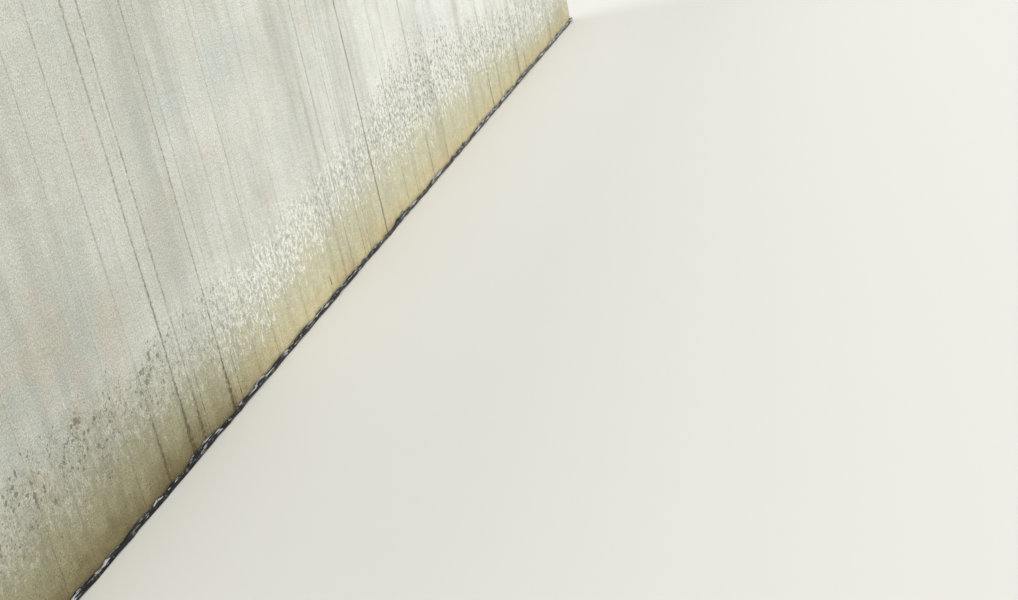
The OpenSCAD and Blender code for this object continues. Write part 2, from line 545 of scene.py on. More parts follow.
        # Over the upper wall where it stays wet longest, a cool and warm stain, which is partly
        # painted shade
        risen = add("MapRange", point.z, *self.stain_heights, **SMOOTH)
        share = add("Math", risen, point.wettest_and_shadiest, operation="MULTIPLY")
        warmth = point.pattern(self.stain_cloud_mm, 3.0)
        warmth = add("MapRange", warmth, 0.42, 0.58, **SMOOTH)
        stain = add("Mix", warmth, self.cool_stain, self.warm_stain, data_type="RGBA")
        return add("Mix", share, colour, stain, data_type="RGBA")

    def _soil_splash(self, point: FacePoint, colour: Node) -> Node:
        """Lays the soil that rain has splashed up from the ground over the paint.

        Near the ground it is one even wash. About its ragged edge the splashes have rinsed the
        paint in bright spots, and drops of soil reach higher, fewer and fewer.

        Args:
            point: The point's place.
            colour: The paint.

        Returns:
            The splashed colour.
        """
        add = point.add
        ragged = point.pattern(self.splash_edge_mm, 6.0, 0.7)
        rise = add("MapRange", ragged, *CLOUDY, -0.065, 0.065)
        risen = add("Math", point.z, rise, operation="ADD")
        damper = add("Math", point.damp_and_shade, 2.0, operation="POWER")
        above, up = (
            self._height_above(point, risen, *edges) for edges in (
                (self.wash_edge, self.splashed_wash_edge, point.wettest_and_shadiest, 0.06),
                (self.drop_edge, self.splashed_drop_edge, damper, 0.07),
            )
        )
        colour = self._soil_wash(point, colour, above)

        # The further up, the fewer the splashes that reach
        peak = add("Math", point.splashed, 8.0, operation="POWER")
        reach = add("MapRange", peak, None, None, self.lowest_drops, self.highest_drops)
        held_back = add("Math", point.damp_and_shade, -0.25, 1.0, operation="MULTIPLY_ADD")
        reach = add("Math", reach, held_back, operation="MULTIPLY")
        share_up = add("Math", up, reach, operation="DIVIDE")
        upper_limit = add("MapRange", share_up, 0.3, 1.3, 0.44, 0.68)
        lower_limit = add("MapRange", up, 0.0, -0.20, 0.46, 0.62)
        limit = add("Math", upper_limit, lower_limit, operation="MAXIMUM")
        most = add("MapRange", point.soaked_and_shaded, None, None, 1.0, 0.20)
        rinsed = point.dry_or_damp_shaded(self.dry_rinsed, self.damp_shaded_rinsed)
        colour = self._spots(point, colour, self.rinsed_mm, limit, most, rinsed)
        # Painted glints: tiny near-white specks in clusters, a little below the drop edge where
        # the wall stays wet
        glint_cluster = point.pattern(self.glint_cluster_mm, 2.0)
        glint_limit = add("MapRange", glint_cluster, 0.40, 0.66, 0.80, 0.58)
        glint_place = add("MapRange", up, -0.14, -0.04, 0.0, 0.9)
        most = add("Math", glint_place, point.soaked_and_shaded, operation="MULTIPLY")
        colour = self._spots(point, colour, self.glint_speck_mm, glint_limit, most, self.glint_speck)

        # Splashes to the side of the peak leave fainter marks, but not where it is wet or dry.
        aside = add("MapRange", peak, None, None, 0.60, 1.0)
        driest = add("MapRange", point.damp_and_shade, 0.20, 0.02, 0.0, 1.0)
        for stronger in (point.soaked_and_shaded, driest):
            aside = add("Math", aside, stronger, operation="MAXIMUM")
        limit = add("Math", limit, 0.045, operation="ADD")
        most = add("MapRange", point.damp_and_shade, 0.2, None, 0.85, 0.35)
        most = add("Math", most, aside, operation="MULTIPLY")
        drop = point.dry_or_damp_shaded(self.dry_drop, self.damp_shaded_drop)
        colour = self._spots(point, colour, self.soiled_mm, limit, most, drop, sideways=3.1)

        density = add("MapRange", share_up, 0.3, 1.35, 0.75, 0.0)
        for share in (
            add("MapRange", up, -0.12, 0.02, 0.35, 1.0),
            add("MapRange", point.pattern(self.drop_group_mm, 3.0), 0.40, 0.60, 0.25, 1.0),
            add("MapRange", point.soaked_and_shaded, None, None, 1.0, 1.5),
        ):
            density = add("Math", density, share, operation="MULTIPLY")
        most = add("MapRange", point.damp_and_shade, 0.2, None, 0.60, 1.0)
        most = add("Math", most, aside, operation="MULTIPLY")
        colour = self._drops(point, colour, self.large_drop_mm, density, most, drop)
        most = add("MapRange", point.soaked_and_shaded, None, None, 0.45, 0.68)
        fewer = add("MapRange", point.damp_and_shade, 0.02, 0.20, 0.3, 1.0)
        most = add("Math", most, fewer, operation="MULTIPLY")
        colour = self._drops(point, colour, self.small_drop_mm, density, most, drop)

        # Where the wall dries soonest, the latest splashes have rinsed it again.
        most = add("MapRange", point.damp_and_shade, 0.40, 0.06, 0.0, 0.9)
        colour = self._spots(
            point, colour, self.rerinsed_mm, limit, most, self.dry_rinsed, sideways=8.3
        )

        # Dark growth in specks along the foot
        low = add("MapRange", point.z, *self.growth_heights, None, 0.80)
        gathered = point.pattern(self.growth_group_mm, 3.0, sideways=5.7)
        gathered = add("MapRange", gathered, 0.40, 0.62)
        growth = add("Math", low, gathered, operation="MULTIPLY")
        most = add("MapRange", point.soaked_and_shaded, None, None, 0.34, 0.65)
        return self._drops(point, colour, self.small_drop_mm, growth, most, self.line_brown)

    def _height_above(
        self, point: FacePoint, risen: Node, edge: float, splashed_edge: float, damper: Node,
        damp_rise: float,
    ) -> Node:
        """Measures how high the point is above an edge that splashes and wetness push up.

        Args:
            point: The point's place.
            risen: Its height, as ragged as the edge.
            edge: Height of the edge where the fewest splashes reach.
            splashed_edge: Its height where the most do.
            damper: How wet it is, from 0 to 1.
            damp_rise: How far the wetness pushes the edge up.

        Returns:
            The height.
        """
        add = point.add
        level = add("MapRange", point.splashed, 0.2, 0.9, edge, splashed_edge, **SMOOTH)
        level = add("Math", damper, damp_rise, level, operation="MULTIPLY_ADD")
        return add("Math", risen, level, operation="SUBTRACT")

    def _soil_wash(self, point: FacePoint, colour: Node, above: Node) -> Node:
        """Washes the foot of the wall with soil, which stays in patches over the wash's edge.

        Args:
            point: The point's place.
            colour: The paint.
            above: Height above the wash's edge.

        Returns:
            The washed colour.
        """
        add = point.add
        share = add("MapRange", above, 0.11, -0.16, None, 0.95, **SMOOTH)
        lowness = add("MapRange", point.z, *self.low_wash_heights)
        upper = point.dry_or_damp_shaded(self.dry_wash, self.damp_shaded_wash)
        lower = point.dry_or_damp_shaded(self.dry_low_wash, self.damp_shaded_low_wash)
        wash = add("Mix", lowness, upper, lower, data_type="RGBA")
        colour = add("Mix", share, colour, wash, data_type="RGBA")

        patch = point.pattern(self.soil_patch_mm, 4.0, 0.65, sideways=1.7)
        patch = add("MapRange", patch, 0.40, 0.56, **SMOOTH)
        dry = add("Math", 1.0, point.damp_and_shade, operation="SUBTRACT")
        for share in (dry, add("MapRange", above, 0.20, 0.0)):
            patch = add("Math", patch, share, operation="MULTIPLY")
        foot = add("MapRange", above, -0.10, 0.03, **SMOOTH)
        soil = add("Mix", foot, wash, self.dry_patch, data_type="RGBA")
        colour = add("Mix", patch, colour, soil, data_type="RGBA")

        # Over the edge, splashes have kept the rest cleaner.
        cleaned = add("MapRange", above, 0.0, 0.12, None, 0.24, **SMOOTH)
        from_top = add("MapRange", above, 0.24, 0.08, **SMOOTH)
        dried = add("Math", 1.0, point.wettest_and_shadiest, operation="SUBTRACT")
        for share in (from_top, dried):
            cleaned = add("Math", cleaned, share, operation="MULTIPLY")
        return add("Mix", cleaned, colour, self.dry_rinsed, data_type="RGBA")

    def _spots(
        self, point: FacePoint, colour: Node, size_mm: float, limit: Node, most: Node,
        tint: Node | str, sideways: float = 0.0,
    ) -> Node:
        """Scatters ragged spots where a pattern rises above a limit.

        Args:
            point: The point's place.
            colour: The colour underneath.
            size_mm: Size of the spots.
            limit: The level above which the pattern shows.
            most: How strongly a spot covers the colour.
            tint: The spots' colour.
            sideways: How far the pattern is moved, so that it doesn't follow another one.

        Returns:
            The spotted colour.
        """
        spots = point.pattern((size_mm, size_mm * 1.5), 4.0, 0.75, sideways)
        over = point.add("Math", spots, limit, operation="SUBTRACT")
        share = point.add("MapRange", over, 0.0, 0.04, None, most, **SMOOTH)
        return point.add("Mix", share, colour, tint, data_type="RGBA")

    def _drops(
        self, point: FacePoint, colour: Node, spacing_mm: float, density: Node, most: Node,
        tint: Node | str,
    ) -> Node:
        """Scatters round drops, of which more show, and larger ones, as the density rises.

        Args:
            point: The point's place.
            colour: The colour underneath.
            spacing_mm: Distance from one drop to the next where they are densest.
            density: From 0 for none to 1 for a drop at every place.
            most: How strongly a drop covers the colour.
            tint: The drops' colour.

        Returns:
            The spotted colour.
        """
        add = point.add
        drawn = add("VectorMath", point.sheet, per_size(spacing_mm), operation="SCALE")
        cells = add("TexVoronoi", drawn, 1.0, voronoi_dimensions="2D")
        tones = add("SeparateColor", cells.outputs["Color"])
        chosen = add("Math", tones, density, operation="ADD")
        radius = add("Math", chosen, 0.62, -0.62, operation="MULTIPLY_ADD")
        distance = cells.outputs["Distance"]
        ragged = add("Math", point.sand, 0.5, distance, operation="MULTIPLY_ADD")
        inside = add("Math", radius, ragged, operation="SUBTRACT")
        share = add("MapRange", inside, -0.25, -0.12, None, most, **SMOOTH)
        return add("Mix", share, colour, tint, data_type="RGBA")

    def _stained_foot(self, point: FacePoint, colour: Node) -> Node:
        """Stains the foot of the wall, darker where it stays wet and shade is painted, and redder
        in patches.

        Args:
            point: The point's place.
            colour: The splashed paint.

        Returns:
            The stained colour.
        """
        add = point.add
        rise = add("MapRange", point.pattern(self.foot_edge_mm, 5.0), *CLOUDY, -0.03, 0.03)
        level = add("Math", point.z, rise, operation="ADD")
        share = add("MapRange", level, *self.foot_heights, None, 0.85, **SMOOTH)
        foot = point.dry_or_damp_shaded(self.dry_foot, self.damp_shaded_foot)
        colour = add("Mix", share, colour, foot, data_type="RGBA")
        patch = point.pattern(self.red_patch_mm, 5.0)
        share = add("MapRange", patch, 0.50, 0.66, None, 0.32, **SMOOTH)
        for limit in (
            add("MapRange", point.soaked_and_shaded, None, 0.5, 1.0, 0.0),
            add("MapRange", level, *self.red_soil_heights, **SMOOTH),
        ):
            share = add("Math", share, limit, operation="MULTIPLY")
        return add("Mix", share, colour, self.red_soil, data_type="RGBA")

    def _rain_lines(self, point: FacePoint, colour: Node) -> Node:
        """Draws the lines and soft bands that rain water leaves on the paint.

        Args:
            point: The point's place.
            colour: The stained paint.

        Returns:
            The streaked colour.
        """
        add = point.add
        foot = add("MapRange", point.z, *self.line_foot_heights, **SMOOTH)
        # The water runs round the sand grains, so that a line's edges are ragged.
        swerve = point.pattern(self.swerve_mm, 1.0)
        swerve = add("MapRange", swerve, None, None, -self.swerve, self.swerve)
        course = add("Math", point.along, swerve, operation="ADD")
        placed = self._placed_lines(point, course, foot)
        scattered = self._scattered_lines(point, course)
        dirt = add("Math", placed, scattered, operation="MAXIMUM")

        # A line comes and goes down the wall, darkens at its foot, and breaks up over the sand.
        presence = point.pattern(self.line_length_mm, 4.0)
        presence = add("MapRange", presence, 0.32, 0.58, 0.35, 1.0)
        low_gain = add("MapRange", point.soaked_and_shaded, None, None, 1.4, 2.1)
        gain = add("MapRange", foot, None, 0.7, 1.0, low_gain)
        broken = point.pattern(self.line_break_mm, 2.0)
        broken = add("MapRange", broken, 0.60, 0.42, 0.30, 1.15)
        for share in (presence, gain):
            dirt = add("Math", dirt, share, operation="MULTIPLY")
        dirt = add("Math", dirt, broken, operation="MULTIPLY", use_clamp=True)

        # Soft bands a hand wide, and upright grain that gathers in stretches
        for size_mm, low, high, most in (
            ((150, 2500), 0.45, 0.70, 0.18),
            ((24, 1100), 0.48, 0.72, 0.08),
            ((7, 420), 0.46, 0.75, 0.15),
        ):
            band = point.pattern(size_mm, 3.0)
            share = add("MapRange", band, low, high, None, most, **SMOOTH)
            dirt = add("Math", dirt, share, operation="ADD", use_clamp=True)
        line_colour = add("Mix", foot, self.line_grey, self.line_brown, data_type="RGBA")
        return add("Mix", dirt, colour, line_colour, data_type="RGBA")

    def _placed_lines(self, point: FacePoint, course: Node, foot: Node) -> Node:
        """Draws the lines that stand out on the garden side, each at its own place.

        Args:
            point: The point's place.
            course: Distance along the wall, ragged by the sand.
            foot: How near the ground the point is, from 0 to 1.

        Returns:
            The lines' strength.
        """
        add = point.add
        narrowing = add("MapRange", foot, None, None, 1.0, 0.3)
        lines = add("Math", point.z, 0.0, operation="LESS_THAN")
        for line in RUN_OFFS:
            middle = WALL_HIGH.x - line.place + WALL_LOW.y
            offset = add("Math", course, middle, operation="SUBTRACT")
            if line.lean:
                offset = add("Math", point.z, line.lean, offset, operation="MULTIPLY_ADD")
            if line.flares:
                offset = add("Math", offset, narrowing, operation="MULTIPLY")
            apart = add("Math", offset, operation="ABSOLUTE")
            half_width = line.half_width_mm * MM
            mark = add("MapRange", apart, 0.0, half_width, line.strength, 0.0, **SMOOTH)
            if line.top < WALL_HIGH.z:
                fading = add("MapRange", point.z, line.top, 0.8 * line.top, **SMOOTH)
                mark = add("Math", mark, fading, operation="MULTIPLY")
            if line.bottom:
                over = add("Math", point.z, line.bottom, operation="GREATER_THAN")
                mark = add("Math", mark, over, operation="MULTIPLY")
            lines = add("Math", lines, mark, operation="MAXIMUM")
            if line.flares:
                spread = 0.4 * line.strength
                spread = add("MapRange", apart, 0.0, self.flare, spread, 0.0, **SMOOTH)
                stain = add("Math", spread, foot, operation="MULTIPLY")
                lines = add("Math", lines, stain, operation="MAXIMUM")
        garden_side = add("Math", point.y, 0.0, operation="LESS_THAN")
        return add("Math", lines, garden_side, operation="MULTIPLY")

    def _scattered_lines(self, point: FacePoint, course: Node) -> Node:
        """Draws lines at random places, each with a tone of its own.

        Args:
            point: The point's place.
            course: Distance along the wall, ragged by the sand.

        Returns:
            The lines' strength.
        """
        add = point.add
        marks = []
        for spacing_mm, half_width_mm, most in ((95.0, 4.0, 0.46), (31.0, 3.0, 0.27)):
            cells = add("TexVoronoi", course, per_size(spacing_mm), voronoi_dimensions="1D")
            edge = half_width_mm / spacing_mm
            mark = add("MapRange", cells.outputs["Distance"], 0.0, edge, most, 0.0, **SMOOTH)
            tones = add("SeparateColor", cells.outputs["Color"])
            faint = add("Math", tones, 2.5, operation="POWER")
            marks.append(add("Math", mark, faint, operation="MULTIPLY"))
        lines = add("Math", *marks, operation="MAXIMUM")
        gathered = point.pattern(self.line_group_mm, 1.0)
        gathered = add("MapRange", gathered, 0.35, 0.60, 0.35, 1.0)
        return add("Math", lines, gathered, operation="MULTIPLY")

    def _grain_tone_and_shade(self, point: FacePoint, colour: Node) -> Node:
        """Lights and darkens the colour by the sand's grain and the float's marks, partly as their
        tone and partly as painted shading of their relief.

        Args:
            point: The point's place.
            colour: The finished paint.

        Returns:
            The grained colour.
        """
        add = point.add
        # Painted shading: the grain and the float's marks are lit and shaded in the colour as well
        # as raised by the bump.
        grain = add("MapRange", point.sand, 0.25, 0.75, 0.48, 1.52)
        lightest = add("MapRange", point.z, *self.rough_foot_heights, 1.05, 1.11)
        darkest = add("Math", 1.0, lightest, operation="DIVIDE")
        marks = point.pattern((self.float_mark_mm, self.float_mark_mm), 4.0)
        marks = add("MapRange", marks, *CLOUDY, darkest, lightest)
        shade = add("Math", grain, marks, operation="MULTIPLY")
        return add("Mix", 1.0, colour, shade, data_type="RGBA", blend_type="MULTIPLY")

    def _relief(self, point: FacePoint) -> Node:
        """Raises the sand grains and the float's shallow marks.

        Args:
            point: The point's place.

        Returns:
            The height for the bump.
        """
        sand = point.add("TexNoise", point.position, per_size(self.sand_mm), 3.0, 0.7)
        float_marks = point.pattern((self.float_mark_mm, self.float_mark_mm / 3), 3.0)
        return point.add("Math", float_marks, 2.0, sand, operation="MULTIPLY_ADD")


@dataclass(frozen=True)
class CopingPoint(Sketch):
    """What the shader knows about a point of the coping before it is coloured.

    Attributes:
        position: Place, in metres.
        x: Place along the wall.
        top: 1 where the surface faces up.
        sand: The grain of the sand, around 0.5.
    """

    position: Socket
    x: Socket
    top: Node
    sand: Node


@dataclass(frozen=True)
class CastConcrete:
    """Cast concrete of the coping units: grey cement over sand and gravel, with air holes.

    Rain has worn the cement off the gravel on top. Dark growth spreads from the joints, lichen
    stands on it in pale rounds, and dirt runs down the edges.
    """

    fresh: str = "#b6b3a8"
    worn: str = "#949084"
    dark_stone: str = "#6f695f"
    pale_stone: str = "#c9bfab"
    growth: str = "#55544a"
    lichen: str = "#c8cab9"
    dirt: str = "#6d695b"
    pitch: float = 1.0
    sand_mm: float = 2.2
    stone_mm: float = 9.0
    hole_mm: float = 16.0
    cloud_mm: float = 200.0
    growth_mm: float = 62.0
    lichen_mm: float = 55.0
    ragged_mm: float = 12.0
    run_mm: float = 14.0
    run_length_mm: float = 180.0

    def build(self) -> Material:
        """Builds the material.

        Returns:
            The coping's concrete.
        """
        material = empty_material("cast_concrete")
        sketch = Sketch(material.node_tree)
        add = sketch.add
        position, x, _, _ = sketch.place()
        normal = add("SeparateXYZ", add("NewGeometry").outputs["Normal"])
        point = CopingPoint(
            sketch.tree, position, x,
            top=add("MapRange", normal.outputs["Z"], 0.3, 0.9),
            sand=add("TexNoise", position, per_size(self.sand_mm), 3.0, 0.7),
        )
        stones = add("TexVoronoi", position, per_size(self.stone_mm))
        bare = add("MapRange", stones.outputs["Distance"], 0.42, 0.30, **SMOOTH)
        bare = add("Math", bare, point.top, operation="MULTIPLY")
        tone = add("SeparateColor", stones.outputs["Color"])
        stone = add("Mix", tone, self.dark_stone, self.pale_stone, data_type="RGBA")
        share = add("Math", bare, 0.55, operation="MULTIPLY")
        colour = add("Mix", share, self._cement(point), stone, data_type="RGBA")
        for lay in (self._growth, self._lichen, self._runs):
            colour = lay(point, colour)
        hole = self._air_holes(point)
        colour = add("Mix", hole, colour, self.growth, data_type="RGBA")
        height = add("Math", bare, 0.8, point.sand, operation="MULTIPLY_ADD")
        height = add("Math", hole, -2.5, height, operation="MULTIPLY_ADD")
        sketch.surface(colour, height, 0.8, roughness=0.9, specular=0.3)
        return material

    def _cement(self, point: CopingPoint) -> Node:
        """Colours the cement, each unit in a tone of its own, and speckles it with its sand.

        Args:
            point: The point's place.

        Returns:
            The cement's colour.
        """
        add = point.add
        unit = add("Math", point.x, operation="FLOOR")
        unit_tone = add("TexWhiteNoise", unit, noise_dimensions="1D")
        clouds = add("TexNoise", point.position, per_size(self.cloud_mm), 5.0, 0.6)
        mixed = add("Math", unit_tone, 0.35, clouds, operation="MULTIPLY_ADD")
        share = add("MapRange", mixed, 0.4, 0.95, **SMOOTH)
        colour = add("Mix", share, self.fresh, self.worn, data_type="RGBA")
        for tint, low, high in ((self.dark_stone, 0.46, 0.30), (self.pale_stone, 0.54, 0.70)):
            share = add("MapRange", point.sand, low, high, None, 0.55)
            colour = add("Mix", share, colour, tint, data_type="RGBA")
        return colour

    def _growth(self, point: CopingPoint, colour: Node) -> Node:
        """Spreads dark growth over the top, thicker by the joints.

        Args:
            point: The point's place.
            colour: The concrete's colour.

        Returns:
            The colour with the growth.
        """
        add = point.add
        from_joint = add("Math", point.x, self.pitch / 2, operation="PINGPONG")
        by_joint = add("MapRange", from_joint, 0.16, 0.0, 0.0, 0.13, **SMOOTH)
        blotches = add("TexNoise", point.position, per_size(self.growth_mm), 8.0, 0.72)
        spread = add("Math", blotches, by_joint, operation="ADD")
        for low, high, most in ((0.40, 0.66, 0.40), (0.52, 0.64, 0.55)):
            share = add("MapRange", spread, low, high, None, most, **SMOOTH)
            share = add("Math", share, point.top, operation="MULTIPLY")
            colour = add("Mix", share, colour, self.growth, data_type="RGBA")
        return colour

    def _lichen(self, point: CopingPoint, colour: Node) -> Node:
        """Stands lichen on the top in pale rounds.

        Args:
            point: The point's place.
            colour: The concrete's colour.

        Returns:
            The colour with the lichen.
        """
        add = point.add
        wavy = add("TexNoise", point.position, per_size(self.ragged_mm), 3.0)
        rounds = add("TexVoronoi", point.position, per_size(self.lichen_mm))
        distance = rounds.outputs["Distance"]
        ragged = add("Math", wavy, 0.30, distance, operation="MULTIPLY_ADD")
        chance = add("SeparateColor", rounds.outputs["Color"])
        size = add("MapRange", chance, 0.60, 1.0, 0.12, 0.40)
        inside = add("Math", size, ragged, operation="SUBTRACT")
        share = add("MapRange", inside, 0.0, 0.03, None, 0.6, **SMOOTH)
        share = add("Math", share, point.top, operation="MULTIPLY")
        return add("Mix", share, colour, self.lichen, data_type="RGBA")

    def _runs(self, point: CopingPoint, colour: Node) -> Node:
        """Runs dirt down the edges.

        Args:
            point: The point's place.
            colour: The concrete's colour.

        Returns:
            The colour with the dirt.
        """
        add = point.add
        scale = (per_size(self.run_mm), per_size(self.run_mm), per_size(self.run_length_mm))
        drawn = add("VectorMath", point.position, scale, operation="MULTIPLY")
        runs = add("TexNoise", drawn, 0.5, 5.0, 0.7)
        share = add("MapRange", runs, 0.46, 0.74, None, 0.55, **SMOOTH)
        upright = add("Math", 1.0, point.top, operation="SUBTRACT")
        share = add("Math", share, upright, operation="MULTIPLY")
        return add("Mix", share, colour, self.dirt, data_type="RGBA")

    def _air_holes(self, point: CopingPoint) -> Node:
        """Scatters the small holes that air bubbles left.

        Args:
            point: The point's place.

        Returns:
            How far the point is inside a hole, from 0 to 1.
        """
        add = point.add
        cells = add("TexVoronoi", point.position, per_size(self.hole_mm))
        chance = add("SeparateColor", cells.outputs["Color"])
        radius = add("MapRange", chance, 0.45, 1.0, 0.0, 0.16)
        inside = add("Math", radius, cells.outputs["Distance"], operation="SUBTRACT")
        return add("MapRange", inside, -0.02, 0.03, None, 0.8, **SMOOTH)


@dataclass(frozen=True)
class PlainGrain:
    """A matt or rubbery filling with a little tone and grain: mortar, sealant or foam board.

    Attributes:
        name: The material's name.
        light: Its lighter colour.
        dark: Its darker colour, where dirt has settled.
        roughness: How matt it is.
        grain_mm: Size of its grains.
        relief_mm: Depth of its grains.
        blotch_mm: Size of the blotches of dirt.
        soiled_to: Height up to which soil darkens it, in metres.
    """

    name: str
    light: str
    dark: str
    roughness: float
    grain_mm: float
    relief_mm: float
    blotch_mm: float = 111.11
    soiled_to: float = 0.5

    def build(self) -> Material:
        """Builds the material.

        Returns:
            The filling's material.
        """
        material = empty_material(self.name)
        sketch = Sketch(material.node_tree)
        add = sketch.add
        position, _, _, z = sketch.place()
        settled = add("TexNoise", position, per_size(self.blotch_mm), 5.0, 0.6)
        low = add("MapRange", z, self.soiled_to, 0.0, 0.0, 0.3)
        soiled = add("Math", settled, low, operation="ADD")
        share = add("MapRange", soiled, 0.35, 0.65, **SMOOTH)
        colour = add("Mix", share, self.light, self.dark, data_type="RGBA")
        grain = add("TexNoise", position, per_size(self.grain_mm), 2.0)
        sketch.surface(colour, grain, self.relief_mm, self.roughness, specular=0.4)
        return material


@dataclass(frozen=True)
class FiredBrickwork:
    """Fired clay bricks in grey mortar, seen on the wall's underside and behind its render."""

    clay: str = "#9c5a41"
    pale_clay: str = "#b5765a"
    mortar: str = "#a39c8d"
    brick_length_mm: float = 222.0
    brick_width_mm: float = 106.0
    brick_height_mm: float = 73.0
    bed_mm: float = 12.0
    joint_mm: float = 10.0
    grit_mm: float = 5.5556

    def build(self) -> Material:
        """Builds the material.

        Returns:
            The brickwork.
        """
        material = empty_material("fired_clay_brickwork")
        sketch = Sketch(material.node_tree)
        add = sketch.add
        position, x, y, z = sketch.place()
        bed_view = add("CombineXYZ", x, y, 0.0)
        face_view = add("CombineXYZ", x, z, 0.0)
        beds = self._bond(sketch, bed_view, self.brick_width_mm + self.joint_mm)
        faces = self._bond(sketch, face_view, self.brick_height_mm + self.bed_mm)
        normal = add("SeparateXYZ", add("NewGeometry").outputs["Normal"])
        down = add("Math", normal.outputs["Z"], -0.5, operation="LESS_THAN")
        colours = faces.outputs["Color"], beds.outputs["Color"]
        colour = add("Mix", down, *colours, data_type="RGBA")
        grain = add("TexNoise", position, per_size(self.grit_mm), 3.0)
        sketch.surface(colour, grain, 1.0, roughness=0.9, specular=0.3)
        return material

    def _bond(self, sketch: Sketch, view: Node, row_mm: float) -> Node:
        """Lays the bricks in rows, each half a brick on from the last.

        Args:
            sketch: The material's nodes.
            view: The plane that the rows lie in.
            row_mm: Height of a row with its joint.

        Returns:
            The brick texture.
        """
        return sketch.add("TexBrick", offset=0.5, squash=1.0, named={
            "Vector": view, "Color1": self.clay, "Color2": self.pale_clay,
            "Mortar": self.mortar, "Scale": 1.0, "Mortar Size": self.joint_mm / 2 * MM,
            "Mortar Smooth": 0.2, "Bias": 0.0,
            "Brick Width": (self.brick_length_mm + self.joint_mm) * MM,
            "Row Height": row_mm * MM,
        })


@dataclass(frozen=True)
class BlackPolythene:
    """Black polythene film, which creases sharply, with a painted pale highlight streaked along
    its folds.
    """

    film: str = "#08090a"
    dust: str = "#6f6655"
    painted_fold_highlight: str = "#c4c8c8"
    dust_mm: float = 33.333
    crease_mm: float = 14.286
    highlight_width_mm: float = 5.0
    highlight_length_mm: float = 90.0

    def build(self) -> Material:
        """Builds the material.

        Returns:
            The damp-proof strip's film.
        """
        material = empty_material("black_polythene")
        sketch = Sketch(material.node_tree)
        add = sketch.add
        position, _, _, z = sketch.place()
        settled = add("TexNoise", position, per_size(self.dust_mm), 5.0, 0.65)
        low = add("MapRange", z, 0.03, 0.0, -0.12, 0.1)
        dusty = add("Math", settled, low, operation="ADD")
        dust_share = add("MapRange", dusty, 0.58, 0.72, None, 0.7, **SMOOTH)
        colour = add("Mix", dust_share, self.film, self.dust, data_type="RGBA")
        # Painted highlight: pale streaks along the fold tops on the strip's upper part stand in
        # for the light that the glossy film catches there.
        across = per_size(self.highlight_width_mm)
        scale = (per_size(self.highlight_length_mm), across, across)
        drawn = add("VectorMath", position, scale, operation="MULTIPLY")
        highlight_streaks = add("TexNoise", drawn, 1.0, 3.0, 0.6)
        high = add("MapRange", z, 0.005, 0.013, -0.15, 0.0)
        highlight_streaks_up = add("Math", highlight_streaks, high, operation="ADD")
        share = add("MapRange", highlight_streaks_up, 0.52, 0.58, None, 0.80, **SMOOTH)
        colour = add("Mix", share, colour, self.painted_fold_highlight, data_type="RGBA")
        roughness = add("MapRange", dust_share, None, None, 0.22, 0.80)
        creases = add("TexVoronoi", position, per_size(self.crease_mm), feature="DISTANCE_TO_EDGE")
        sketch.surface(colour, creases, 0.6, roughness, specular=0.2, ior=1.51, strength=0.4)
        return material


@dataclass(frozen=True)
class PaleFloor:
    """The plain pale floor under the wall."""

    colour: str = "#dedcd6"

    def build(self) -> Material:
        """Builds the material.

        Returns:
            The floor's material.
        """
        material = empty_material("pale_floor")
        sketch = Sketch(material.node_tree)
        shader = sketch.add("BsdfPrincipled", named={
            "Base Color": self.colour, "Roughness": 0.9, "Specular IOR Level": 0.2,
        })
        sketch.add("OutputMaterial", shader)
        return material


def deselect_everything() -> None:
    """Leaves edit mode and deselects every object."""
    if bpy.context.object is not None and bpy.context.object.mode != "OBJECT":
        bpy.ops.object.mode_set(mode="OBJECT")
    bpy.ops.object.select_all(action="DESELECT")


def select_only(piece: Piece) -> None:
    """Selects one object and makes it the active one."""
    deselect_everything()
    piece.select_set(True)
    bpy.context.view_layer.objects.active = piece


def delete(piece: Piece) -> None:
    """Deletes an object that has done its work."""
    select_only(piece)
    bpy.ops.object.delete()


def apply_modifier(piece: Piece, modifier: bpy.types.Modifier) -> None:
    """Applies one of an object's modifiers."""
    bpy.context.view_layer.objects.active = piece
    bpy.ops.object.modifier_apply(modifier=modifier.name)


def start_block(name: str, low: Vector, high: Vector) -> Piece:
    """Adds a block at its size and place, to be shaped in edit mode.

    Args:
        name: The piece's name.
        low: Its lowest corner.
        high: Its highest corner.

    Returns:
        The block, selected and active, with its place in its mesh.
    """
    deselect_everything()
    bpy.ops.mesh.primitive_cube_add(size=1.0, location=(low + high) / 2, scale=high - low)
    block = bpy.context.object
    block.name = name
    bpy.ops.object.transform_apply(location=True, rotation=True, scale=True)
    return block


def select_parts(piece: Piece, kind: Part, test: Callable[[Any], bool]) -> None:
    """Selects the vertices, edges or faces that pass a test, in edit mode.

    Args:
        piece: The object in edit mode.
        kind: Which of them are tested.
        test: What a selected one has to pass.
    """
    bpy.ops.mesh.select_mode(type=kind.value)
    bpy.ops.mesh.select_all(action="DESELECT")
    shape = bmesh.from_edit_mesh(piece.data)
    parts = {Part.VERTEX: shape.verts, Part.EDGE: shape.edges, Part.FACE: shape.faces}
    for part in parts[kind]:
        if test(part):
            part.select_set(True)
    shape.select_flush_mode()
    bmesh.update_edit_mesh(piece.data)


def round_edges(
    piece: Piece, radius: float, test: Callable[[bmesh.types.BMEdge], bool], segments: int = 4
) -> None:
    """Rounds the edges that pass a test, in edit mode.

    Args:
        piece: The object in edit mode.
        radius: How far the rounding reaches from the edge.
        test: What a rounded edge has to pass.
        segments: How many strips of faces the rounding has.
    """
    select_parts(piece, Part.EDGE, test)
    bpy.ops.mesh.bevel(offset=radius, segments=segments, affect="EDGES")


